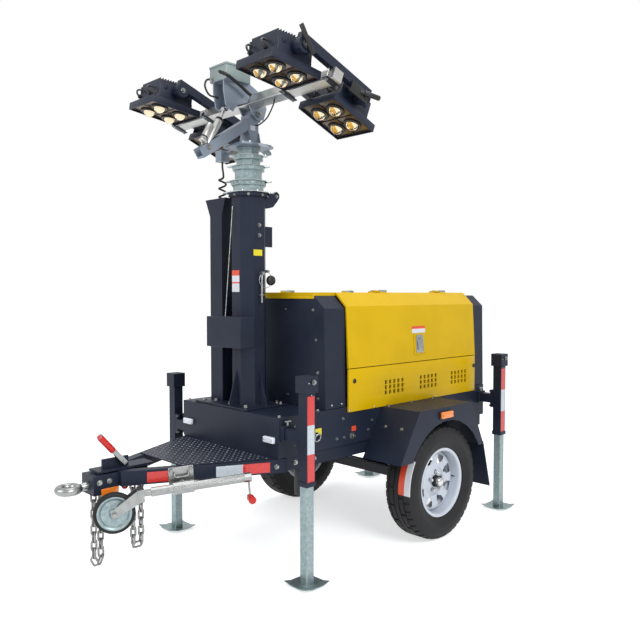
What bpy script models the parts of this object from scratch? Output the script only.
"""A towed light tower: generator canopy on a two-wheeled chassis, four slide-out legs,
an octagonal telescopic mast and four tilting floodlights.

World frame: metres, +Z up, ground at Z = 0. The trailer is towed towards -X, and its
left side is -Y. The origin is on the ground below the middle of the whole length. Places
along the trailer are measured from the axle, forward negative, and X() turns them into the
world's X.
"""
import math

import bpy
from mathutils import Matrix, Vector

for old in list(bpy.data.objects):
    bpy.data.objects.remove(old, do_unlink=True)

# Driving sizes.
GAP = 0.0004                    # between touching pieces, and in bearings and guides
CLEAR = 0.005                   # between a moving piece and what it passes
SHEET = 0.006                   # sheet steel, thick enough to stay a solid

# Wheels: 15 inch rim and a 205/75 tyre.
RIM_R = 0.1905
SIDEWALL = 0.1545               # rim seat to tread
TYRE_R = RIM_R + SIDEWALL
TYRE_W = 0.205
STUB_R = 0.020
WHEEL_STEPS = 20
WHEEL_GAP = 0.0625              # tub side to tyre
ARCH_GAP = 0.040                # tyre to mudguard arch
GUARD_OVER = 0.0175             # how far the mudguard covers past the tyre

# Places along the trailer.
TUB_FRONT = -1.10
TUB_REAR = 0.84
MAST_X = TUB_FRONT + 0.160
CANOPY_FRONT = MAST_X + 0.188
DOOR_FRONT = CANOPY_FRONT + 0.169
DOOR_REAR = TUB_REAR - 0.134
DECK_FRONT = TUB_FRONT - 0.435
EYE_X = DECK_FRONT - 0.490
EYE_RING_R = 0.045
EYE_BAR_R = 0.020
LEG_FRONT_X = TUB_FRONT + 0.050
LEG_REAR_X = TUB_REAR - 0.055

# Half widths and heights.
TUB_Y = 0.44
RIDE = 0.285                    # axle to the tub's bottom
TUB_Z0 = TYRE_R + RIDE
TUB_H = 0.214
TUB_Z1 = TUB_Z0 + TUB_H
RAIL_H = 0.075
RAIL_W = 0.05
RAIL_Y = TUB_Y - 0.040
PANEL_T = 0.0121
PANEL_Y = TUB_Y + GAP + PANEL_T
PANEL_Z0 = TUB_Z1 - 0.030
SPLIT_Z = TUB_Z1 + 0.2175
FOLD_Y = PANEL_Y - 0.0225
FOLD_Z = SPLIT_Z + 0.3555
ROOF_Y = FOLD_Y - 0.084
ROOF_Z = FOLD_Z + 0.080
HOUSING_Y = TUB_Y - 0.004
TRACK = 2 * (TUB_Y + WHEEL_GAP + TYRE_W / 2)

# Legs. The two arms of a pair lie one above the other, so a right leg sits lower.
LEG_Y = 0.60
LEG_TUBE = 0.060
ARM_TUBE = 0.060
SLEEVE = ARM_TUBE + 0.020
LEG_STEP = SLEEVE + 0.003
ARM_Z = TUB_Z0 + 0.132
LEG_TOP = ARM_Z + 0.313
LEG_LOW = ARM_Z - 0.247
FOOT_SIZE = 0.165

# The trailer's ends, and from them the place of the axle in the world frame.
FRONT_TIP = EYE_X - EYE_RING_R - EYE_BAR_R
REAR_TIP = LEG_REAR_X + FOOT_SIZE / 2
AXLE_X = -(FRONT_TIP + REAR_TIP) / 2


def X(from_axle):
    """World X of a place given from the axle."""
    return AXLE_X + from_axle


def bore(radius, steps):
    """Corner radius of a faceted bore that clears a shaft of the radius by GAP all round."""
    return (radius + GAP) / math.cos(math.pi / steps)


# Shapes: each is a pair (vertices, faces) of one closed body with its faces outwards.

def block(x0, x1, y0, y1, z0, z1):
    verts = [(x, y, z) for z in (z0, z1) for y in (y0, y1) for x in (x0, x1)]
    faces = [(0, 2, 3, 1), (4, 5, 7, 6), (0, 1, 5, 4), (2, 6, 7, 3), (0, 4, 6, 2), (1, 3, 7, 5)]
    return verts, faces


def centred(cx, cy, cz, sx, sy, sz):
    return block(cx - sx / 2, cx + sx / 2, cy - sy / 2, cy + sy / 2, cz - sz / 2, cz + sz / 2)


def moved(shape, matrix):
    """The shape under a rigid motion."""
    return [tuple(matrix @ Vector(v)) for v in shape[0]], shape[1]


def mirrored(shape):
    """The shape on the other side of the centre plane Y = 0."""
    return [(x, -y, z) for x, y, z in shape[0]], [tuple(reversed(f)) for f in shape[1]]


def area2(points):
    return sum(a[0] * b[1] - b[0] * a[1] for a, b in zip(points, points[1:] + points[:1]))


def to_plane(plane, u, v, w):
    """Point (u, v) of a drawing plane, w along its normal."""
    return {"xy": (u, v, w), "xz": (u, w, v), "yz": (w, u, v)}[plane]


def prism(points, plane, low, high):
    """A polygon drawn in a plane and extruded from low to high along the plane's normal."""
    turn = area2(points) > 0
    if plane == "xz":
        turn = not turn
    if not turn:
        points = list(reversed(points))
    n = len(points)
    verts = [to_plane(plane, u, v, low) for u, v in points]
    verts += [to_plane(plane, u, v, high) for u, v in points]
    faces = [tuple(range(n - 1, -1, -1)), tuple(range(n, 2 * n))]
    faces += [(i, (i + 1) % n, n + (i + 1) % n, n + i) for i in range(n)]
    return verts, faces


def frame_of(direction):
    """A rotation that turns +Z to the direction."""
    return Vector(direction).to_track_quat("Z", "Y").to_matrix().to_4x4()


def revolved(profile, centre, axis, steps, phase=0.0):
    """A closed (radius, height) profile turned about an axis; no radius is zero."""
    if area2(profile) < 0:
        profile = list(reversed(profile))
    n = len(profile)
    verts = []
    for k in range(steps):
        a = phase + 2 * math.pi * k / steps
        verts += [(r * math.cos(a), r * math.sin(a), h) for r, h in profile]
    faces = []
    for k in range(steps):
        m = (k + 1) % steps
        for i in range(n):
            j = (i + 1) % n
            faces.append((k * n + i, m * n + i, m * n + j, k * n + j))
    place = Matrix.Translation(centre) @ frame_of(axis)
    return [tuple(place @ Vector(v)) for v in verts], faces


def rod(p0, p1, radius, steps=12, radius2=None):
    """A round bar from p0 to p1, or a cone when radius2 is given."""
    p0, p1 = Vector(p0), Vector(p1)
    radius2 = radius if radius2 is None else radius2
    length = (p1 - p0).length
    verts = []
    for r, h in ((radius, 0.0), (radius2, length)):
        for k in range(steps):
            a = 2 * math.pi * (k + 0.5) / steps
            verts.append((r * math.cos(a), r * math.sin(a), h))
    faces = [tuple(range(steps - 1, -1, -1)), tuple(range(steps, 2 * steps))]
    faces += [(k, (k + 1) % steps, steps + (k + 1) % steps, steps + k) for k in range(steps)]
    place = Matrix.Translation(p0) @ frame_of(p1 - p0)
    return [tuple(place @ Vector(v)) for v in verts], faces


def ring_of(points, normal, radius, steps):
    """A bar bent to a closed ring along points of one plane, with its flats along the normal."""
    points = [Vector(p) for p in points]
    normal = Vector(normal).normalized()
    n = len(points)
    verts = []
    for i, p in enumerate(points):
        before = (p - points[i - 1]).normalized()
        after = (points[(i + 1) % n] - p).normalized()
        tangent = (before + after).normalized()
        side = tangent.cross(normal) / tangent.dot(before)
        for k in range(steps):
            a = 2 * math.pi * (k + 0.5) / steps
            verts.append(tuple(p + radius * (math.cos(a) * normal + math.sin(a) * side)))
    faces = []
    for i in range(n):
        m = (i + 1) % n
        for k in range(steps):
            j = (k + 1) % steps
            faces.append((i * steps + k, i * steps + j, m * steps + j, m * steps + k))
    return verts, faces


# Objects.
def raw_object(name, shapes):
    verts = []
    faces = []
    for v, f in shapes:
        base = len(verts)
        verts += list(v)
        faces += [tuple(base + i for i in face) for face in f]
    mesh = bpy.data.meshes.new(name)
    mesh.from_pydata(verts, [], faces)
    mesh.update()
    obj = bpy.data.objects.new(name, mesh)
    bpy.context.scene.collection.objects.link(obj)
    return obj


def boolean(obj, shapes, operation, together=False):
    """Joins or cuts the shapes by exact Booleans, and keeps the result as the mesh.

    Shapes that don't meet each other can go together, in one step.
    """
    batches = [list(shapes)] if together else [[shape] for shape in shapes]
    for batch in batches:
        other = raw_object("cutter", batch)
        step = obj.modifiers.new("boolean", "BOOLEAN")
        step.operation = operation
        step.solver = "EXACT"
        step.object = other
        bpy.context.view_layer.update()
        graph = bpy.context.evaluated_depsgraph_get()
        made = bpy.data.meshes.new_from_object(obj.evaluated_get(graph))
        obj.modifiers.clear()
        obj.data = made
        bpy.data.objects.remove(other, do_unlink=True)


MATERIALS = {
    "navy_paint": ((0.045, 0.055, 0.085, 1), 0.0, 0.38),
    "yellow_paint": ((0.62, 0.40, 0.01, 1), 0.0, 0.35),
    "zinc": ((0.60, 0.62, 0.64, 1), 0.9, 0.38),
    "rubber_tyre": ((0.018, 0.018, 0.02, 1), 0.0, 0.8),
    "white_rim": ((0.82, 0.82, 0.82, 1), 0.1, 0.35),
    "grey_paint": ((0.33, 0.38, 0.44, 1), 0.2, 0.4),
    "alloy": ((0.70, 0.70, 0.68, 1), 0.9, 0.35),
    "black_paint": ((0.015, 0.016, 0.02, 1), 0.0, 0.5),
    "lamp_black": ((0.02, 0.025, 0.035, 1), 0.3, 0.45),
    "engine_grey": ((0.25, 0.26, 0.27, 1), 0.3, 0.6),
    "cable_black": ((0.015, 0.015, 0.017, 1), 0.0, 0.6),
    "lamp_white": ((0.85, 0.88, 0.9, 1), 0.0, 0.2),
    "amber": ((0.9, 0.3, 0.02, 1), 0.0, 0.2),
}


def node(name, material, shapes, cuts=(), joins=(), origin=None, smooth=False):
    """One named piece: its shapes joined, then cut, then joined with what the cut must spare."""
    obj = raw_object(name, shapes[:1])
    boolean(obj, list(shapes[1:]), "UNION")
    boolean(obj, list(cuts), "DIFFERENCE", together=len(cuts) > 20)
    boolean(obj, list(joins), "UNION")
    if origin is not None:
        obj.data.transform(Matrix.Translation(-Vector(origin)))
        obj.location = origin
    if smooth:
        obj.data.shade_smooth()
        obj.data.set_sharp_from_angle(angle=math.radians(32))
    color, metallic, roughness = MATERIALS[material]
    mat = bpy.data.materials.new(name + "_" + material)
    mat.use_nodes = True
    shader = mat.node_tree.nodes["Principled BSDF"]
    shader.inputs["Base Color"].default_value = color
    shader.inputs["Metallic"].default_value = metallic
    shader.inputs["Roughness"].default_value = roughness
    obj.data.materials.clear()
    obj.data.materials.append(mat)
    return obj


SIDES = (("left", -1), ("right", 1))


def sided(shape, side):
    """A shape drawn for the right side, on that side."""
    return shape if side > 0 else mirrored(shape)


# Base tub and leg sleeves.
SLEEVE_OUT = TUB_Y + 0.025      # how far a sleeve's mouth stands from the centre plane
SLEEVE_IN = TUB_Y - 0.015       # how far it reaches across to the other side
ARM_IN = SLEEVE_IN - 0.030      # the arm's inner end, as far across
LIP = 0.02
sleeves = []
channels = []
for leg_x in (LEG_FRONT_X, LEG_REAR_X):
    for side, height in ((-1, ARM_Z), (1, ARM_Z - LEG_STEP)):
        cx = X(leg_x)
        y_mouth = side * SLEEVE_OUT
        y_end = -side * SLEEVE_IN
        sleeves.append(centred(cx, (y_mouth + y_end) / 2, height,
                               SLEEVE, SLEEVE_OUT + SLEEVE_IN, SLEEVE))
        inside = ARM_TUBE + 2 * GAP
        channels.append(centred(cx, (y_mouth * 1.04 - side * (SLEEVE_IN + 0.007)) / 2, height,
                                inside, SLEEVE_OUT * 1.04 + SLEEVE_IN + 0.007, inside))
tub = node("base_tub", "navy_paint",
           [block(X(TUB_FRONT), X(TUB_REAR), -TUB_Y, TUB_Y, TUB_Z0, TUB_Z1)],
           cuts=[block(X(TUB_FRONT) + SHEET, X(TUB_REAR) - SHEET, -TUB_Y + SHEET, TUB_Y - SHEET,
                       TUB_Z0 + SHEET, TUB_Z1 - SHEET),
                 block(X(CANOPY_FRONT) + 0.03, X(TUB_REAR) - 0.03, -TUB_Y + LIP, TUB_Y - LIP,
                       TUB_Z1 - 0.02, TUB_Z1 + 0.02)],
           joins=sleeves)
boolean(tub, channels, "DIFFERENCE")

# Chassis frame and drawbar.
RAIL_Z1 = TUB_Z0 - GAP
RAIL_Z0 = RAIL_Z1 - RAIL_H
DRAW_END = EYE_X + 0.225        # where the drawbar tubes end at the coupling
DRAW_TIP_Y = 0.0584             # the drawbar's half width there
DRAW_SLOPE = (RAIL_Y - DRAW_TIP_Y) / (TUB_FRONT - DRAW_END)
DRAW_Z0 = RAIL_Z0 + 0.0015
DRAW_Z1 = RAIL_Z1 - 0.0015
CROSS_IN = 0.005                # a cross member is this much less high than the rails


def draw_y(x):
    """Half width of the drawbar's centre line."""
    return RAIL_Y - DRAW_SLOPE * (TUB_FRONT - x)


half = RAIL_W / 2 * math.hypot(1, DRAW_SLOPE)
RAIL_END = TUB_REAR - 0.020
frame_shapes = []
for side in (-1, 1):
    frame_shapes.append(centred(X((TUB_FRONT + RAIL_END) / 2), side * RAIL_Y, (RAIL_Z0 + RAIL_Z1) / 2,
                                RAIL_END - TUB_FRONT, RAIL_W, RAIL_H))
    start, end = TUB_FRONT + 0.05, DRAW_END
    outline = [(X(start), side * (draw_y(start) - half)), (X(start), side * (draw_y(start) + half)),
               (X(end), side * (draw_y(end) + half)), (X(end), side * (draw_y(end) - half))]
    frame_shapes.append(prism(outline, "xy", DRAW_Z0, DRAW_Z1))
for cross_x in (TUB_FRONT + 0.025, -0.30, 0.30, TUB_REAR - 0.050):
    frame_shapes.append(centred(X(cross_x), 0, (RAIL_Z0 + RAIL_Z1) / 2, RAIL_W, 2 * RAIL_Y,
                                RAIL_H - 2 * CROSS_IN))
node("chassis_frame", "navy_paint", frame_shapes)

DECK_T = 0.0045
DECK_REAR = TUB_FRONT - 0.002
DECK_OVER = 0.008               # how far the plate stands past the tubes' centre lines
deck_nose = draw_y(DECK_FRONT) + DECK_OVER
deck_tail = draw_y(DECK_REAR) + DECK_OVER + 0.012
deck = [(X(DECK_FRONT), -deck_nose), (X(DECK_REAR), -deck_tail),
        (X(DECK_REAR), deck_tail), (X(DECK_FRONT), deck_nose)]
node("deck_plate", "navy_paint", [prism(deck, "xy", DRAW_Z1 + GAP, DRAW_Z1 + GAP + DECK_T)])

# Coupling, tow eye and brake lever.
EYE_Z = RAIL_Z0 + 0.0134
COUPLING_FRONT = EYE_X + 0.095
COUPLING_REAR = COUPLING_FRONT + 0.310
BEAM_Y = 0.026
NOSE_Z0 = EYE_Z - 0.040
BEAM_Z0 = EYE_Z - 0.016
CHAIN_BAR_R = 0.007
CHAIN_LEFT = (EYE_X + 0.330, -0.045)
CHAIN_RIGHT = (EYE_X + 0.163, 0.045)
CHAIN_LEFT_TOP = EYE_Z - 0.008
CHAIN_RIGHT_TOP = NOSE_Z0 - 0.015
LEVER_Y = -0.030
EAR_Y = -0.012
LEVER_FOOT = (X(EYE_X + 0.268), LEVER_Y, RAIL_Z1 + 0.0344)
LEVER_TOP = (X(EYE_X + 0.142), LEVER_Y, RAIL_Z1 + 0.1754)
node("coupling", "navy_paint",
     [block(X(COUPLING_FRONT), X(COUPLING_REAR), -BEAM_Y, BEAM_Y, BEAM_Z0, EYE_Z + 0.044),
      block(X(COUPLING_FRONT), X(DRAW_END) - GAP, -0.062, 0.062, NOSE_Z0, EYE_Z + 0.054),
      block(X(COUPLING_FRONT) + 0.030, X(COUPLING_REAR) + 0.020, -0.05, 0.05, DRAW_Z1 + GAP, DRAW_Z1 + 0.010),
      block(X(DRAW_END) + 0.010, X(COUPLING_REAR), -0.02, 0.02, EYE_Z + 0.032, DRAW_Z1 + 0.0084),
      block(LEVER_FOOT[0] - 0.103, LEVER_FOOT[0] + 0.037, EAR_Y, 0.0, EYE_Z + 0.052, LEVER_FOOT[2] + 0.021)])
eye_profile = [(EYE_RING_R + EYE_BAR_R * math.cos(a), EYE_BAR_R * math.sin(a))
               for a in [math.pi / 3 * k for k in range(6)]]
node("tow_eye", "zinc",
     [revolved(eye_profile, (X(EYE_X), 0, EYE_Z), (0, 0, 1), 14),
      rod((X(EYE_X) + EYE_RING_R, 0, EYE_Z), (X(COUPLING_FRONT) - GAP, 0, EYE_Z), EYE_BAR_R + 0.001, 10)],
     smooth=True)

lever_dir = (Vector(LEVER_TOP) - Vector(LEVER_FOOT)).normalized()
lever_len = (Vector(LEVER_TOP) - Vector(LEVER_FOOT)).length
place = Matrix.Translation(LEVER_FOOT) @ frame_of(lever_dir)
node("brake_lever", "zinc",
     [moved(block(-0.012, 0.012, -0.012, 0.012, -0.014, lever_len - 0.08), place),
      moved(rod((0, 0, lever_len - 0.11), (0, 0, lever_len), 0.015, 10), place),
      rod((LEVER_FOOT[0], LEVER_Y - 0.015, LEVER_FOOT[2]), (LEVER_FOOT[0], EAR_Y - GAP, LEVER_FOOT[2]),
          0.010, 10)],
     smooth=True)

# Safety chains. The links of a chain are fused where they bear on each other.
LINK_PITCH = 0.045
LINK_WIRE = 0.0060
LINK_HALF = 0.0130
LINK_BITE = 0.0006              # how deep the links sit in each other


def link(centre, along, across, pitch):
    """One chain link: a loop with blunt ends in the plane of two directions."""
    along, across = Vector(along).normalized(), Vector(across).normalized()
    flat = LINK_WIRE * math.cos(math.pi / 4)
    reach = pitch / 2 + flat - LINK_BITE / 2
    corner = reach - LINK_HALF * 0.55
    outline = [(reach, -0.5), (reach, 0.5), (corner, 1), (-corner, 1), (-reach, 0.5), (-reach, -0.5),
               (-corner, -1), (corner, -1)]
    path = [Vector(centre) + along * u + across * LINK_HALF * v for u, v in outline]
    return ring_of(path, along.cross(across), LINK_WIRE, 4)


def chain(name, x, y, top, low, spread, stud):
    """A chain that hangs as a loop of two strands, down to low, from a bar at top whose stud
    reaches the coupling."""
    straight = top - low - spread
    bend = math.pi * spread
    count = math.ceil((2 * straight + bend) / LINK_PITCH)
    pitch = (2 * straight + bend) / count
    shapes = []
    for k in range(count):
        s = pitch * (k + 0.5)
        if s < straight:
            spot, along = (x - spread, top - s), (0, -1)
        elif s < straight + bend:
            a = math.pi + (s - straight) / spread
            spot = (x + spread * math.cos(a), low + spread + spread * math.sin(a))
            along = (-math.sin(a), math.cos(a))
        else:
            spot, along = (x + spread, low + spread + s - straight - bend), (0, 1)
        across = (0, 1, 0) if k % 2 else (along[1], 0, -along[0])
        shapes.append(link((spot[0], y, spot[1]), (along[0], 0, along[1]), across, pitch))
    shapes.append(rod((x - spread - 0.01, y, top), (x + spread + 0.01, y, top), CHAIN_BAR_R, 6))
    shapes.append(rod((x, y, top), stud, CHAIN_BAR_R - 0.001, 6))
    return node(name, "zinc", shapes, smooth=True)


chain("safety_chain_left", X(CHAIN_LEFT[0]), CHAIN_LEFT[1], CHAIN_LEFT_TOP, 0.236, 0.022,
      (X(CHAIN_LEFT[0]), -BEAM_Y - GAP, CHAIN_LEFT_TOP))
chain("safety_chain_right", X(CHAIN_RIGHT[0]), CHAIN_RIGHT[1], CHAIN_RIGHT_TOP, 0.165, 0.018,
      (X(CHAIN_RIGHT[0]), CHAIN_RIGHT[1], NOSE_Z0 - GAP))

# Jockey wheel, stowed along the left drawbar tube.
draw_dir = Vector((-1, DRAW_SLOPE, 0)).normalized()      # forward along the left tube
draw_out = Vector((-DRAW_SLOPE, -1, 0)).normalized()     # outwards from the left tube
JOCKEY_X = EYE_X + 0.495
JOCKEY_Z = RAIL_Z0 - 0.0066
JOCKEY_TUBE_R = 0.0225
JOCKEY_BORE_R = JOCKEY_TUBE_R - 0.0035
JOCKEY_STEPS = 10
JOCKEY_BOSS = JOCKEY_TUBE_R + 0.011
JOCKEY_AXLE_R = 0.008
JOCKEY_OFF = 0.100
JOCKEY_PITCH = math.radians(3.8)
draw_point = Vector((X(JOCKEY_X), -draw_y(JOCKEY_X), JOCKEY_Z))
JOCKEY_PIVOT = draw_point + draw_out * JOCKEY_OFF
up = Vector((0, 0, 1))


def jockey_place():
    """Local X forward along the leg, Y outwards, Z up, origin on the swing axis."""
    m = Matrix.Identity(4)
    forward = draw_dir * math.cos(JOCKEY_PITCH) - up * math.sin(JOCKEY_PITCH)
    upward = up * math.cos(JOCKEY_PITCH) + draw_dir * math.sin(JOCKEY_PITCH)
    for column, vector in enumerate((forward, draw_out, upward)):
        for row in range(3):
            m[row][column] = vector[row]
    m.translation = JOCKEY_PIVOT
    return m


def in_jockey(shape):
    """A shape drawn in the leg's own frame, in its place."""
    return moved(shape, jockey_place())


PLATE_OUT = -(JOCKEY_OFF - RAIL_W / 2 - GAP)
node("jockey_bracket", "zinc",
     [in_jockey(block(-0.062, 0.062, PLATE_OUT, PLATE_OUT + 0.008, -0.03, 0.085)),
      in_jockey(rod((0, PLATE_OUT + 0.004, 0), (0, -JOCKEY_BOSS - GAP, 0), 0.016, 10))])
tube_shape = revolved([(JOCKEY_BORE_R, -0.31), (JOCKEY_TUBE_R, -0.31), (JOCKEY_TUBE_R, 0.155),
                       (JOCKEY_BORE_R, 0.155)], (0, 0, 0), (1, 0, 0), JOCKEY_STEPS)
collar_shape = revolved([(JOCKEY_TUBE_R - 0.002, -0.05), (JOCKEY_TUBE_R + 0.008, -0.05),
                         (JOCKEY_TUBE_R + 0.008, 0.05), (JOCKEY_TUBE_R - 0.002, 0.05)],
                        (0, 0, 0), (1, 0, 0), JOCKEY_STEPS)
node("jockey_leg", "zinc",
     [in_jockey(tube_shape), in_jockey(collar_shape),
      in_jockey(block(-0.022, 0.022, -JOCKEY_BOSS, -JOCKEY_TUBE_R + 0.002, -0.022, 0.022)),
      in_jockey(rod((-0.335, 0, 0), (-0.300, 0, 0), JOCKEY_TUBE_R + 0.003, JOCKEY_STEPS)),
      in_jockey(rod((-0.322, 0, 0), (-0.322, 0.01, -0.10), 0.006, 6)),
      in_jockey(rod((-0.322, -0.01, -0.10), (-0.322, 0.075, -0.10), 0.013, 8))],
     origin=JOCKEY_PIVOT, smooth=True)
WHEEL_ALONG = 0.330
WHEEL_DROP = -0.072
FORK_HALF = 0.030
fork_side = [(0.195, -0.03), (0.205, 0.022), (0.222, 0.022), (WHEEL_ALONG + 0.018, WHEEL_DROP + 0.014),
             (WHEEL_ALONG + 0.010, WHEEL_DROP - 0.018), (WHEEL_ALONG - 0.012, WHEEL_DROP - 0.016)]
node("jockey_fork", "zinc",
     [in_jockey(rod((-0.20, 0, 0), (0.20, 0, 0),
                    JOCKEY_BORE_R * math.cos(math.pi / JOCKEY_STEPS) - GAP, JOCKEY_STEPS)),
      in_jockey(block(0.188, 0.219, -FORK_HALF - 0.009, FORK_HALF + 0.009, -0.033, 0.026)),
      in_jockey(prism(fork_side, "xz", FORK_HALF, FORK_HALF + 0.005)),
      in_jockey(prism(fork_side, "xz", -FORK_HALF - 0.005, -FORK_HALF)),
      in_jockey(rod((WHEEL_ALONG, -FORK_HALF - 0.01, WHEEL_DROP), (WHEEL_ALONG, FORK_HALF + 0.01, WHEEL_DROP),
                    JOCKEY_AXLE_R, 8))],
     origin=JOCKEY_PIVOT, smooth=True)
JOCKEY_AXLE = jockey_place() @ Vector((WHEEL_ALONG, 0, WHEEL_DROP))
JOCKEY_R = 0.098
JOCKEY_WHEEL_STEPS = 14
jockey_bore = bore(JOCKEY_AXLE_R, JOCKEY_WHEEL_STEPS)
node("jockey_wheel", "rubber_tyre",
     [revolved([(jockey_bore, -0.024), (0.022, -0.024), (0.026, -0.010), (0.068, -0.010),
                (0.072, -0.024), (JOCKEY_R, -0.016), (JOCKEY_R, 0.016),
                (0.072, 0.024), (0.068, 0.010), (0.026, 0.010), (0.022, 0.024),
                (jockey_bore, 0.024)],
               JOCKEY_AXLE, draw_out, JOCKEY_WHEEL_STEPS)],
     origin=JOCKEY_AXLE, smooth=True)

# Axle.
AXLE_Z = TYRE_R
STUB_END = TRACK / 2 + 0.055
HUB_FACE = TRACK / 2 - TYRE_W / 2 - 0.02
axle_shapes = [block(X(-0.03), X(0.03), -HUB_FACE, HUB_FACE, AXLE_Z - 0.03, AXLE_Z + 0.03),
               rod((X(0), -STUB_END, AXLE_Z), (X(0), STUB_END, AXLE_Z), STUB_R, 14)]
for side in (-1, 1):
    arm = [(X(-0.06), RAIL_Z0 - GAP), (X(-0.26), RAIL_Z0 - GAP), (X(-0.26), RAIL_Z0 - 0.03),
           (X(-0.02), AXLE_Z - 0.02), (X(0.028), AXLE_Z - 0.02), (X(0.028), AXLE_Z + 0.03)]
    y = sorted((side * (RAIL_Y - 0.03), side * (RAIL_Y + 0.02)))
    axle_shapes.append(prism(arm, "xz", *y))
node("axle", "black_paint", axle_shapes)

# Road wheels: the rim's section and the tyre's, with the tyre's beads between the flanges.
tyre_half = TYRE_W / 2
flange_r = RIM_R + 0.018
flange_in = tyre_half - 0.032
tyre_side = [(RIM_R + 0.002, flange_in - 0.0065), (flange_r + 0.0015, flange_in - 0.003),
             (flange_r + 0.0045, flange_in + 0.0135), (RIM_R + 0.0715, tyre_half),
             (TYRE_R - 0.040, tyre_half - 0.0065), (TYRE_R - 0.012, tyre_half - 0.0205),
             (TYRE_R, tyre_half - 0.0405)]
tyre_profile = [(r, -h) for r, h in tyre_side] + list(reversed(tyre_side))
BORE_R = bore(STUB_R, WHEEL_STEPS)
HOLES_R = RIM_R - 0.0405        # ring of the disc's eight holes
HUB_R = HOLES_R - 0.065
rim_profile = [(RIM_R + 0.0015, 0.0045 - flange_in), (flange_r, -flange_in), (flange_r, -0.0075 - flange_in),
               (RIM_R - 0.008, -0.0075 - flange_in), (RIM_R - 0.008, 0.016),
               (0.060, 0.008), (0.055, -0.030), (BORE_R, -0.030), (BORE_R, 0.048),
               (0.036, 0.048), (0.036, 0.026), (HUB_R, 0.022), (HOLES_R, 0.030), (RIM_R - 0.003, 0.030),
               (RIM_R - 0.001, 0.0075 + flange_in),
               (flange_r, 0.0075 + flange_in), (flange_r, flange_in), (RIM_R + 0.0015, flange_in - 0.0045)]
for name, side in SIDES:
    hub = (X(0), side * TRACK / 2, AXLE_Z)
    outwards = (0, side, 0)
    node("tyre_" + name, "rubber_tyre", [revolved(tyre_profile, hub, outwards, WHEEL_STEPS)],
         origin=hub, smooth=True)
    holes = []
    for k in range(8):
        a = 2 * math.pi * (k + 0.5) / 8
        spot = Vector((math.sin(a), 0, math.cos(a))) * HOLES_R
        centre = Vector(hub) + spot
        holes.append(rod(centre - Vector(outwards) * 0.03, centre + Vector(outwards) * 0.06, 0.017, 6))
    node("rim_" + name, "white_rim", [revolved(rim_profile, hub, outwards, WHEEL_STEPS)], cuts=holes,
         origin=hub, smooth=True)

# Mudguards: bolted to the tub's side below the panel, with a rubber flap behind.
GUARD_IN = TUB_Y + GAP
GUARD_OUT = TRACK / 2 + TYRE_W / 2 + GUARD_OVER
GUARD_TOP = PANEL_Z0 - 0.001
GUARD_LOW = AXLE_Z + 0.183
ARCH_R = TYRE_R + ARCH_GAP
GUARD_FRONT = -ARCH_R - 0.065
GUARD_REAR = ARCH_R + 0.007
FLAT_FRONT = -ARCH_R + 0.110    # ends of the mudguard's level top
FLAT_REAR = ARCH_R - 0.135
FLAP_LOW = AXLE_Z - 0.105
FLAP_LEAN = 0.084
FLAP_T = 0.008
guard = [(X(GUARD_FRONT), GUARD_LOW), (X(FLAT_FRONT), GUARD_TOP), (X(FLAT_REAR), GUARD_TOP),
         (X(GUARD_REAR), GUARD_LOW)]
inner = [(X(GUARD_FRONT + 0.002), GUARD_LOW - 0.028), (X(FLAT_FRONT + 0.0035), GUARD_TOP - SHEET),
         (X(FLAT_REAR - 0.0035), GUARD_TOP - SHEET), (X(GUARD_REAR), GUARD_LOW - 0.028)]
flap = [(X(GUARD_REAR - FLAP_T), GUARD_LOW + 0.017), (X(GUARD_REAR), GUARD_LOW + 0.017),
        (X(GUARD_REAR + FLAP_LEAN), FLAP_LOW), (X(GUARD_REAR + FLAP_LEAN - FLAP_T), FLAP_LOW)]
for name, side in SIDES:
    low, high = sorted((side * GUARD_IN, side * GUARD_OUT))
    in_low, in_high = sorted((side * (GUARD_IN - 0.02), side * (GUARD_OUT - SHEET)))
    f_low, f_high = sorted((side * (TRACK / 2 - TYRE_W / 2), side * (GUARD_OUT - 0.001)))
    node("mudguard_" + name, "navy_paint", [prism(guard, "xz", low, high)],
         cuts=[prism(inner, "xz", in_low, in_high),
               rod((X(0), side * TRACK / 2, AXLE_Z), (X(0), side * (GUARD_OUT + 0.075), AXLE_Z),
                   ARCH_R, 28)],
         joins=[prism(flap, "xz", f_low, f_high)])

# Canopy: two dark end housings, yellow panels, a roof and two gull-wing doors hinged on it.
HOUSING_TOP = ROOF_Z - 0.0195


def housing_profile(inset):
    """Section of the dark end housings, in Y and Z, with its two sloping shoulders."""
    y = HOUSING_Y - inset
    z0 = TUB_Z1 + GAP if inset == 0 else TUB_Z1 - 0.05
    top = HOUSING_TOP - inset
    fold = FOLD_Z - 0.012 - inset * 0.4
    edge = ROOF_Y - inset * 0.4
    return [(-y, z0), (y, z0), (y - 0.010, fold), (edge, top), (-edge, top), (-y + 0.010, fold)]


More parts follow.
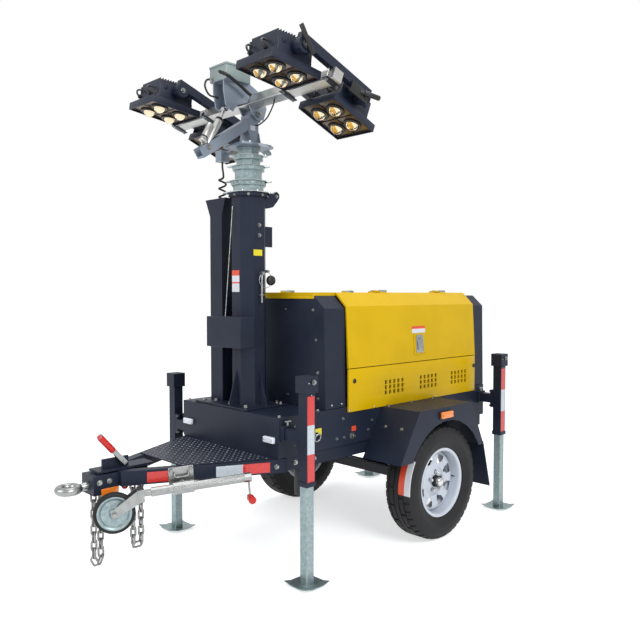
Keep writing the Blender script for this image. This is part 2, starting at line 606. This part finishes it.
node("front_housing", "navy_paint",
     [prism(housing_profile(0), "yz", X(CANOPY_FRONT), X(DOOR_FRONT) - CLEAR)],
     cuts=[prism(housing_profile(SHEET), "yz", X(CANOPY_FRONT) + SHEET, X(DOOR_FRONT) + 0.05)])
node("rear_housing", "navy_paint",
     [prism(housing_profile(0), "yz", X(DOOR_REAR) + CLEAR, X(TUB_REAR))],
     cuts=[prism(housing_profile(SHEET), "yz", X(DOOR_REAR) - 0.05, X(TUB_REAR) - SHEET)])
HINGE_PIN_R = 0.004
HINGE_PIN_SIDES = 6
HINGE_R = 0.0075
HINGE_Y = ROOF_Y - 0.001
HINGE_Z = ROOF_Z + HINGE_R + GAP
LUG_L = 0.050
KNUCKLE_L = 0.070
HINGES = {"left": (-0.200, 0.420), "right": (-0.345, 0.245)}
lug = [(ROOF_Y - 0.045, ROOF_Z - 0.003), (ROOF_Y - 0.008, ROOF_Z - 0.003),
       (HINGE_Y + 0.004, HINGE_Z - 0.003), (HINGE_Y + 0.004, HINGE_Z + 0.0045),
       (HINGE_Y - 0.004, HINGE_Z + 0.0055), (ROOF_Y - 0.045, ROOF_Z + 0.003)]
leaf = [(HINGE_Y + 0.003, HINGE_Z - 0.0149), (HINGE_Y + 0.0095, HINGE_Z - 0.0134),
        (HINGE_Y + 0.007, HINGE_Z + 0.0011), (HINGE_Y, HINGE_Z + 0.0011),
        (HINGE_Y + 0.0005, HINGE_Z - 0.0064)]
roof_shapes = [block(X(CANOPY_FRONT) - 0.006, X(DOOR_REAR), -ROOF_Y + CLEAR, ROOF_Y - CLEAR,
                     HOUSING_TOP + GAP, ROOF_Z)]
for name, side in SIDES:
    for at in HINGES[name]:
        roof_shapes.append(sided(prism(lug, "yz", X(at) - LUG_L, X(at)), side))
        roof_shapes.append(rod((X(at) - 0.010, side * HINGE_Y, HINGE_Z),
                               (X(at) + KNUCKLE_L, side * HINGE_Y, HINGE_Z), HINGE_PIN_R, HINGE_PIN_SIDES))
node("roof_panel", "yellow_paint", roof_shapes)
DOOR_T = 0.012
door = [(PANEL_Y, SPLIT_Z + CLEAR / 2), (FOLD_Y + 0.002, FOLD_Z), (ROOF_Y + 0.0045, ROOF_Z),
        (ROOF_Y + 0.0005, ROOF_Z - DOOR_T), (FOLD_Y - 0.006, FOLD_Z - DOOR_T / 2),
        (PANEL_Y - DOOR_T, SPLIT_Z + CLEAR / 2)]
LATCH_X = 0.076                 # middle of the latch's dish
LATCH_Z = SPLIT_Z + 0.112
LATCH_W = 0.110
LATCH_H = 0.130
LATCH_T = 0.005
door_lean = math.atan2(PANEL_Y - FOLD_Y - 0.002, FOLD_Z - SPLIT_Z - CLEAR / 2)
latch_y = PANEL_Y - math.tan(door_lean) * (LATCH_Z - SPLIT_Z - CLEAR / 2)
latch_place = Matrix.Translation((X(LATCH_X), latch_y, LATCH_Z)) @ Matrix.Rotation(door_lean, 4, "X")
latch = moved(block(-LATCH_W / 2, LATCH_W / 2, -DOOR_T / 2, LATCH_T, -LATCH_H / 2, LATCH_H / 2), latch_place)
LOUVRES = (-0.385, 0.035, 0.405)
LOUVRE_PITCH = 0.0375
for name, side in SIDES:
    low, high = sorted((side * (TUB_Y + GAP), side * PANEL_Y))
    slots = []
    for group in LOUVRES:
        for col in range(5):
            for row in range(3):
                slots.append(centred(X(group + LOUVRE_PITCH * col), side * PANEL_Y,
                                     PANEL_Z0 + 0.091 + 0.042 * row, 0.018, 0.06, 0.026))
    node("side_panel_" + name, "yellow_paint",
         [block(X(DOOR_FRONT), X(DOOR_REAR), low, high, PANEL_Z0, SPLIT_Z - CLEAR / 2)], cuts=slots)
    hinge = (X(DOOR_FRONT), side * HINGE_Y, HINGE_Z)
    door_shapes = [sided(prism(door, "yz", X(DOOR_FRONT), X(DOOR_REAR)), side), sided(latch, side)]
    pins = []
    for at in HINGES[name]:
        start, end = X(at) + 2 * GAP, X(at) + KNUCKLE_L
        door_shapes.append(sided(prism(leaf, "yz", start + 0.002, end - 0.002), side))
        door_shapes.append(rod((start, side * HINGE_Y, HINGE_Z), (end, side * HINGE_Y, HINGE_Z), HINGE_R, 8))
        pins.append(rod((start - 0.01, side * HINGE_Y, HINGE_Z), (end + 0.01, side * HINGE_Y, HINGE_Z),
                        bore(HINGE_PIN_R, HINGE_PIN_SIDES), HINGE_PIN_SIDES))
    node("door_" + name, "yellow_paint", door_shapes, cuts=pins, origin=hinge)
ENGINE = (-0.50, 0.55, 0.25, 0.276)      # front, rear, half width, height over the tub's top
node("engine_block", "engine_grey",
     [block(X(ENGINE[0]), X(ENGINE[1]), -ENGINE[2], ENGINE[2], TUB_Z0 + SHEET + GAP, TUB_Z1 + ENGINE[3])])

# Mast: octagonal tubes that slide in each other's collars.
FLATS = math.cos(math.pi / 8)
EIGHTH = math.pi / 8
MAST_BASE_AF = 0.185            # across flats of the fixed tube
MAST_WALL = 0.004
MAST_STEP = 2 * (MAST_WALL + CLEAR)
MAST_FLOOR = TUB_Z1 + GAP + 0.012
MAST_H = 1.2036                 # the fixed tube over its base plate
COLLAR_TOPS = [MAST_FLOOR + MAST_H + rise for rise in (0.0, 0.065, 0.150, 0.210)]
HEAD_PLATE_Z = MAST_FLOOR + MAST_H + 0.270
COLLAR_H = 0.022


def octagon_tube(across, z0, z1, collar, collar_h, guided=None):
    """An octagonal tube with a collar at its top, whose inside guides the next tube."""
    r_out = across / 2 / FLATS
    r_in = (across / 2 - MAST_WALL) / FLATS
    r_col = collar / 2 / FLATS
    profile = [(r_in, z0), (r_out, z0), (r_out, z1 - collar_h), (r_col, z1 - collar_h), (r_col, z1)]
    if guided is None:
        profile += [(r_in, z1)]
    else:
        r_lip = (guided / 2 + GAP) / FLATS
        profile += [(r_lip, z1), (r_lip, z1 - collar_h), (r_in, z1 - collar_h)]
    return revolved(profile, (X(MAST_X), 0, 0), (0, 0, 1), 8, EIGHTH)


gussets = []
for side in (-1, 1):
    cy = side * (MAST_BASE_AF / 2)
    tri = [(side * (MAST_BASE_AF / 2 - 0.003), MAST_FLOOR - 0.002), (side * 0.155, MAST_FLOOR - 0.002),
           (side * 0.155, MAST_FLOOR + 0.02), (side * (MAST_BASE_AF / 2 - 0.003), MAST_FLOOR + 0.22)]
    gussets.append(prism(tri, "yz", X(MAST_X) - 0.004, X(MAST_X) + 0.004))
    tri_x = [(X(MAST_X) + side * (MAST_BASE_AF / 2 - 0.003), MAST_FLOOR - 0.002),
             (X(MAST_X) + side * 0.145, MAST_FLOOR - 0.002),
             (X(MAST_X) + side * 0.145, MAST_FLOOR + 0.02),
             (X(MAST_X) + side * (MAST_BASE_AF / 2 - 0.003), MAST_FLOOR + 0.22)]
    gussets.append(prism(tri_x, "xz", -0.004, 0.004))
node("mast_base", "navy_paint",
     [octagon_tube(MAST_BASE_AF, MAST_FLOOR - 0.004, COLLAR_TOPS[0], MAST_BASE_AF + 0.031, COLLAR_H,
                   MAST_BASE_AF - MAST_STEP),
      block(X(MAST_X) - 0.15, X(MAST_X) + 0.15, -0.16, 0.16, TUB_Z1 + GAP, MAST_FLOOR)] + gussets)
for k in (1, 2, 3):
    across = MAST_BASE_AF - k * MAST_STEP
    node("mast_section_%d" % k, "zinc",
         [octagon_tube(across, MAST_FLOOR + 0.012 + 0.006 * k, COLLAR_TOPS[k],
                       MAST_BASE_AF + 0.019 - 0.014 * k, COLLAR_H, across - MAST_STEP)],
         origin=(X(MAST_X), 0, 0))
across = MAST_BASE_AF - 4 * MAST_STEP
HEAD_PLATE_T = 0.012
node("mast_section_4", "zinc",
     [octagon_tube(across, MAST_FLOOR + 0.040, HEAD_PLATE_Z - HEAD_PLATE_T - GAP, across + 0.017, 0.012)],
     origin=(X(MAST_X), 0, 0))

# Cable column with its chute, and the winch cover.
COLUMN_X = MAST_X - 0.01
COLUMN_Y = 0.235
COLUMN_TOP = COLLAR_TOPS[0] - 0.085
chute = [(COLUMN_Y - 0.058, COLUMN_TOP - 0.03), (COLUMN_Y + 0.058, COLUMN_TOP - 0.03),
         (COLUMN_Y + 0.105, COLUMN_TOP + 0.075), (COLUMN_Y - 0.090, COLUMN_TOP + 0.075)]
chute_in = [(COLUMN_Y - 0.050, COLUMN_TOP - 0.05), (COLUMN_Y + 0.050, COLUMN_TOP - 0.05),
            (COLUMN_Y + 0.105, COLUMN_TOP + 0.09), (COLUMN_Y - 0.088, COLUMN_TOP + 0.09)]
node("cable_column", "navy_paint",
     [centred(X(COLUMN_X), COLUMN_Y, (TUB_Z1 + GAP + COLUMN_TOP) / 2, 0.10, 0.116,
              COLUMN_TOP - TUB_Z1 - GAP),
      prism(chute, "yz", X(COLUMN_X) - 0.049, X(COLUMN_X) + 0.049)],
     cuts=[centred(X(COLUMN_X), COLUMN_Y, COLUMN_TOP - 0.30, 0.092, 0.108, 0.66),
           prism(chute_in, "yz", X(COLUMN_X) - 0.043, X(COLUMN_X) + 0.043)])
WINCH_BACK = MAST_X - MAST_BASE_AF / 2 - GAP
WINCH_Z = TUB_Z1 + 0.346
node("winch_cover", "navy_paint",
     [block(X(WINCH_BACK) - 0.098, X(WINCH_BACK), -0.165, 0.150, WINCH_Z, WINCH_Z + 0.172)])

# Head: what the mast carries, and the tilting bar above it.
PIVOT_X = MAST_X + 0.033
PIVOT_Z = HEAD_PLATE_Z + 0.178
PIVOT_R = 0.012
PIN_SIDES = 10
BAR = 0.060
BAR_X = PIVOT_X - 0.038
BAR_Z = PIVOT_Z + 0.062
TILT = math.radians(20.2)
head_frame = Matrix.Translation((X(BAR_X), 0, BAR_Z)) @ Matrix.Rotation(TILT, 4, "Y")
LEVER_END_X = PIVOT_X - 0.355
LEVER_END_Z = PIVOT_Z - 0.256
EYE_TOP = (PIVOT_X - 0.199, PIVOT_Z + 0.005)
EYE_LOW = (PIVOT_X - 0.329, PIVOT_Z - 0.229)
PLATE_IN = 0.042
PLATE_OUT_Y = 0.050
ROD_R = 0.0115
ROD_SIDES = 12
EYE_PIN_R = 0.008

lever_root = (PIVOT_X - 0.023, PIVOT_Z - 0.038)
lever_angle = math.atan2(lever_root[1] - LEVER_END_Z, lever_root[0] - LEVER_END_X)
lever_length = math.hypot(lever_root[1] - LEVER_END_Z, lever_root[0] - LEVER_END_X)
lever_frame = Matrix.Translation((X(LEVER_END_X), 0, LEVER_END_Z)) @ Matrix.Rotation(-lever_angle, 4, "Y")
CLAMP_Z = HEAD_PLATE_Z - 0.060
wings = [(X(MAST_X) - 0.115, -0.085), (X(MAST_X) - 0.07, -0.115), (X(MAST_X) + 0.07, -0.115),
         (X(MAST_X) + 0.115, -0.085), (X(MAST_X) + 0.115, 0.085), (X(MAST_X) + 0.07, 0.115),
         (X(MAST_X) - 0.07, 0.115), (X(MAST_X) - 0.115, 0.085)]
node("mast_head", "grey_paint",
     [prism(wings, "xy", HEAD_PLATE_Z - HEAD_PLATE_T, HEAD_PLATE_Z),
      block(X(MAST_X) - 0.026, X(MAST_X) + 0.046, -0.035, 0.035, HEAD_PLATE_Z - 0.002, PIVOT_Z - 0.008),
      prism([(X(PIVOT_X) - 0.033, PIVOT_Z - 0.038), (X(PIVOT_X) + 0.030, PIVOT_Z - 0.038),
             (X(PIVOT_X) + 0.026, PIVOT_Z + 0.014), (X(PIVOT_X), PIVOT_Z + 0.028),
             (X(PIVOT_X) - 0.026, PIVOT_Z + 0.014)], "xz", -0.034, 0.034),
      moved(block(-0.02, lever_length, -0.032, 0.032, -0.028, 0.028), lever_frame),
      rod((X(PIVOT_X), -0.062, PIVOT_Z), (X(PIVOT_X), 0.062, PIVOT_Z), PIVOT_R, PIN_SIDES),
      block(X(MAST_X) - 0.01, X(MAST_X) + 0.01, 0.105, COLUMN_Y + 0.027, HEAD_PLATE_Z - 0.0115,
            HEAD_PLATE_Z - 0.001),
      block(X(COLUMN_X) - 0.03, X(COLUMN_X) + 0.03, COLUMN_Y - 0.03, COLUMN_Y + 0.027, CLAMP_Z,
            HEAD_PLATE_Z + 0.005)],
     cuts=[moved(block(-0.03, 0.150, -0.0255, 0.0255, -0.0165, 0.05), lever_frame)],
     joins=[rod((X(EYE_LOW[0]), -0.028, EYE_LOW[1]), (X(EYE_LOW[0]), 0.028, EYE_LOW[1]), EYE_PIN_R,
                PIN_SIDES)],
     origin=(X(MAST_X), 0, 0))

plate_offsets = [(0.039, -0.028), (0.062, 0.037), (0.039, 0.107), (-0.068, 0.160), (-0.243, 0.160),
                 (-0.243, 0.092), (-0.228, 0.012), (-0.178, -0.016), (-0.153, 0.022), (-0.073, 0.052),
                 (-0.038, -0.008), (-0.008, -0.033)]
plate = [(X(PIVOT_X) + dx, PIVOT_Z + dz) for dx, dz in plate_offsets]
pivot_hole = rod((X(PIVOT_X), -0.09, PIVOT_Z), (X(PIVOT_X), 0.09, PIVOT_Z), bore(PIVOT_R, PIN_SIDES),
                 PIN_SIDES)
bar_hole = moved(block(-BAR / 2 - GAP, BAR / 2 + GAP, -0.3, 0.3, -BAR / 2 - GAP, BAR / 2 + GAP), head_frame)
head_pivot = (X(PIVOT_X), 0, PIVOT_Z)
node("head_bracket", "grey_paint",
     [prism(plate, "xz", -PLATE_OUT_Y, -PLATE_IN),
      prism(plate, "xz", PLATE_IN, PLATE_OUT_Y),
      block(X(PIVOT_X) - 0.243, X(PIVOT_X) - 0.078, -0.075, 0.075, PIVOT_Z + 0.147, PIVOT_Z + 0.234)],
     cuts=[pivot_hole, bar_hole],
     joins=[rod((X(EYE_TOP[0]), side * 0.054, EYE_TOP[1]), (X(EYE_TOP[0]), side * 0.018, EYE_TOP[1]),
                EYE_PIN_R, 8) for side in (-1, 1)],
     origin=head_pivot)
LAMP_HALF_W = 0.135
LAMP_HALF_L = 0.1625
ARM_H = 0.050
ARM_W = 0.038
ARM_HALF = 0.262
LAMP_A = 0.230
LAMP_N = 0.025
LAMP_Y = 0.520
LAMP_PIN_R = 0.010
LAMP_PIN_SIDES = 10
ARM_SIDE = LAMP_HALF_W + 0.007 + ARM_W / 2      # from the lamp's middle to its arm's
BAR_END = LAMP_Y + ARM_SIDE + ARM_W / 2 + 0.015
node("crossbar", "alloy",
     [moved(block(-BAR / 2, BAR / 2, -BAR_END, BAR_END, -BAR / 2, BAR / 2), head_frame)],
     origin=head_pivot)
arm_places = (("lamp_arm_left_outer", -LAMP_Y - ARM_SIDE), ("lamp_arm_left_inner", -LAMP_Y + ARM_SIDE),
              ("lamp_arm_right_inner", LAMP_Y - ARM_SIDE), ("lamp_arm_right_outer", LAMP_Y + ARM_SIDE))
for name, y in arm_places:
    n0 = BAR / 2 + GAP
    ears = []
    holes = []
    for a in (-LAMP_A, LAMP_A):
        ears.append(moved(rod((a, y - ARM_W / 2, LAMP_N), (a, y + ARM_W / 2, LAMP_N), 0.040, 10), head_frame))
        holes.append(moved(rod((a, y - 0.05, LAMP_N), (a, y + 0.05, LAMP_N),
                               bore(LAMP_PIN_R, LAMP_PIN_SIDES), LAMP_PIN_SIDES), head_frame))
    node(name, "lamp_black",
         [moved(block(-ARM_HALF, ARM_HALF, y - ARM_W / 2 + 0.001, y + ARM_W / 2 - 0.001, n0, n0 + ARM_H),
                head_frame)] + ears,
         cuts=holes, origin=head_pivot)

# Lamps: a rimmed face with four domed glasses below, and a finned heat sink above.
FACE_V = -0.105
RIM_TOP_V = -0.062
DOME_SIDES = 8
FINS = 5
FIN_PITCH = 0.048
DOME = ((0.045, 0.024), (0.045, 0.006), (0.031, -0.008), (0.013, -0.017))
lamps = (("lamp_front_left", -1, -LAMP_A, 7.4), ("lamp_rear_left", -1, LAMP_A, 21.8),
         ("lamp_front_right", 1, -LAMP_A, 7.3), ("lamp_rear_right", 1, LAMP_A, 21.8))
LAMP_PIVOTS = {}
for name, side, along, tilt in lamps:
    pivot = head_frame @ Vector((along, side * LAMP_Y, LAMP_N))
    LAMP_PIVOTS[name] = pivot
    place = Matrix.Translation(pivot) @ Matrix.Rotation(math.radians(tilt), 4, "Y")
    body = [block(-LAMP_HALF_L, LAMP_HALF_L, -LAMP_HALF_W, LAMP_HALF_W, FACE_V, RIM_TOP_V),
            block(-0.130, 0.130, -0.118, 0.118, RIM_TOP_V - 0.004, -0.010)]
    for k in range(FINS):
        u = (k - (FINS - 1) / 2) * FIN_PITCH
        body.append(block(u - 0.006, u + 0.006, -0.105, 0.105, -0.014, 0.075))
    body.append(block(-0.028, 0.028, -0.127, 0.127, -0.050, 0.020))
    pin_end = ARM_SIDE - 0.003
    body.append(rod((0, -pin_end, 0), (0, pin_end, 0), LAMP_PIN_R, LAMP_PIN_SIDES))
    cuts = [block(-LAMP_HALF_L + 0.008, LAMP_HALF_L - 0.008, -LAMP_HALF_W + 0.008, LAMP_HALF_W - 0.008,
                  FACE_V - 0.02, FACE_V + 0.022)]
    domes = []
    for du in (-0.070, 0.070):
        for dv in (-0.058, 0.058):
            verts = []
            for r, h in DOME:
                for s in range(DOME_SIDES):
                    a = 2 * math.pi * s / DOME_SIDES
                    verts.append((du + r * math.cos(a), dv + r * math.sin(a), FACE_V + h))
            rows = len(verts) // DOME_SIDES
            faces = [tuple(range(DOME_SIDES)),
                     tuple(reversed(range((rows - 1) * DOME_SIDES, rows * DOME_SIDES)))]
            for i in range(rows - 1):
                for s in range(DOME_SIDES):
                    p, q = i * DOME_SIDES + s, i * DOME_SIDES + (s + 1) % DOME_SIDES
                    faces.append((p, p + DOME_SIDES, q + DOME_SIDES, q))
            domes.append((verts, faces))
    node(name, "lamp_black", [moved(s, place) for s in body], cuts=[moved(s, place) for s in cuts],
         joins=[moved(s, place) for s in domes], origin=pivot)

# Tilt actuator: its lower eye turns on the lever's pin, its rod's eye floats between two studs.
low = Vector((X(EYE_LOW[0]), 0, EYE_LOW[1]))
top = Vector((X(EYE_TOP[0]), 0, EYE_TOP[1]))
along = (top - low).normalized()
reach = (top - low).length
place = Matrix.Translation(low) @ frame_of(along)
barrel_in = bore(ROD_R, ROD_SIDES)
node("actuator_barrel", "alloy",
     [moved(revolved([(barrel_in, 0.022), (0.0190, 0.022), (0.0190, 0.195), (barrel_in, 0.195)],
                     (0, 0, 0), (0, 0, 1), ROD_SIDES), place),
      moved(revolved([(bore(EYE_PIN_R, PIN_SIDES), -0.012), (0.0180, -0.012), (0.0180, 0.012),
                      (bore(EYE_PIN_R, PIN_SIDES), 0.012)],
                     (0, 0, 0), place.inverted().to_3x3() @ Vector((0, 1, 0)), PIN_SIDES), place),
      moved(block(-0.013, 0.013, -0.010, 0.010, 0.0135, 0.030), place)],
     origin=low, smooth=True)
node("actuator_rod", "zinc",
     [moved(rod((0, 0, 0.070), (0, 0, reach - 0.012), ROD_R, ROD_SIDES), place),
      revolved([(0.0095, -0.012), (0.0160, -0.012), (0.0160, 0.012), (0.0095, 0.012)],
               top, (0, 1, 0), PIN_SIDES)],
     origin=top, smooth=True)

# Coiled mast cable, as a plain tube.
COIL_Z = COLUMN_TOP - 0.120
node("coil_cable", "cable_black",
     [rod((X(COLUMN_X), COLUMN_Y, COIL_Z), (X(COLUMN_X), COLUMN_Y, CLAMP_Z - GAP), 0.027, 12)],
     origin=(X(COLUMN_X), COLUMN_Y, COIL_Z), smooth=True)

# Legs: an arm that slides in the tub's sleeve, a tube on its end, and a screw foot inside that.
INNER_TUBE = 0.050
FOOT_IN = 0.085                 # how far the inner tube reaches into the outer one
CAP_H = 0.084
PLATE_LIFT = 0.022              # how far a foot's corners are turned up
PLATE_T = 0.006
FLANGE = LEG_Y - LEG_TUBE / 2 - 0.012
GRID = (-1.0, -0.45, 0.45, 1.0)
legs = (("front_left", LEG_FRONT_X, -1, 0.0), ("front_right", LEG_FRONT_X, 1, LEG_STEP),
        ("rear_left", LEG_REAR_X, -1, 0.0), ("rear_right", LEG_REAR_X, 1, LEG_STEP))
for name, leg_x, side, lower in legs:
    cx = X(leg_x)
    arm_z = ARM_Z - lower
    top_z = LEG_TOP - lower
    low_z = LEG_LOW - lower
    shapes = [block(cx - LEG_TUBE / 2, cx + LEG_TUBE / 2, LEG_Y - LEG_TUBE / 2, LEG_Y + LEG_TUBE / 2,
                    low_z, top_z - 0.01),
              centred(cx, LEG_Y, top_z - CAP_H / 2, LEG_TUBE + 0.022, LEG_TUBE + 0.022, CAP_H),
              centred(cx, LEG_Y, low_z + 0.012, LEG_TUBE + 0.008, LEG_TUBE + 0.008, 0.024),
              block(cx - ARM_TUBE / 2 + 0.001, cx + ARM_TUBE / 2 - 0.001, FLANGE - 0.012,
                    LEG_Y - LEG_TUBE / 2 + 0.004, arm_z - 0.06, arm_z + 0.06),
              block(cx - ARM_TUBE / 2, cx + ARM_TUBE / 2, -ARM_IN, FLANGE - 0.004,
                    arm_z - ARM_TUBE / 2, arm_z + ARM_TUBE / 2)]
    inside = INNER_TUBE / 2 + GAP
    hollow = block(cx - inside, cx + inside, LEG_Y - inside, LEG_Y + inside, low_z - 0.02, top_z - 0.04)
    node("outrigger_" + name, "navy_paint", [sided(s, side) for s in shapes],
         cuts=[sided(hollow, side)], origin=(cx, side * LEG_Y, arm_z))
    # The foot is a square plate with its edges and corners turned up.
    foot_half = FOOT_SIZE / 2
    rows = len(GRID)
    verts = []
    for rise in (0.0, PLATE_T):
        for u in GRID:
            for v in GRID:
                lift = PLATE_LIFT / 2 * ((abs(u) > 0.5) + (abs(v) > 0.5))
                verts.append((cx + u * foot_half, LEG_Y + v * foot_half, lift + rise))
    faces = []
    over = rows * rows
    for i in range(rows - 1):
        for j in range(rows - 1):
            a = i * rows + j
            b = a + rows
            faces.append((a, a + 1, b + 1, b))
            faces.append((over + a, over + b, over + b + 1, over + a + 1))
    edge = [i * rows for i in range(rows)] + [(rows - 1) * rows + j for j in range(1, rows)]
    edge += [(rows - i) * rows - 1 for i in range(1, rows)] + [rows - 1 - j for j in range(1, rows - 1)]
    for p, q in zip(edge, edge[1:] + edge[:1]):
        faces.append((p, q, over + q, over + p))
    inner = INNER_TUBE / 2
    foot_shapes = [block(cx - inner, cx + inner, LEG_Y - inner, LEG_Y + inner, PLATE_T / 2, low_z + FOOT_IN),
                   (verts, faces)]
    node("foot_" + name, "zinc", [sided(s, side) for s in foot_shapes],
         origin=(cx, side * LEG_Y, 0))

# Front marker lamps.
MARKER_Y = TUB_Y - 0.065
MARKER_Z = TUB_Z0 + 0.095
for name, side in SIDES:
    node("front_marker_" + name, "lamp_white",
         [centred(X(TUB_FRONT) - GAP - 0.010, side * MARKER_Y, MARKER_Z, 0.020, 0.085, 0.034)])
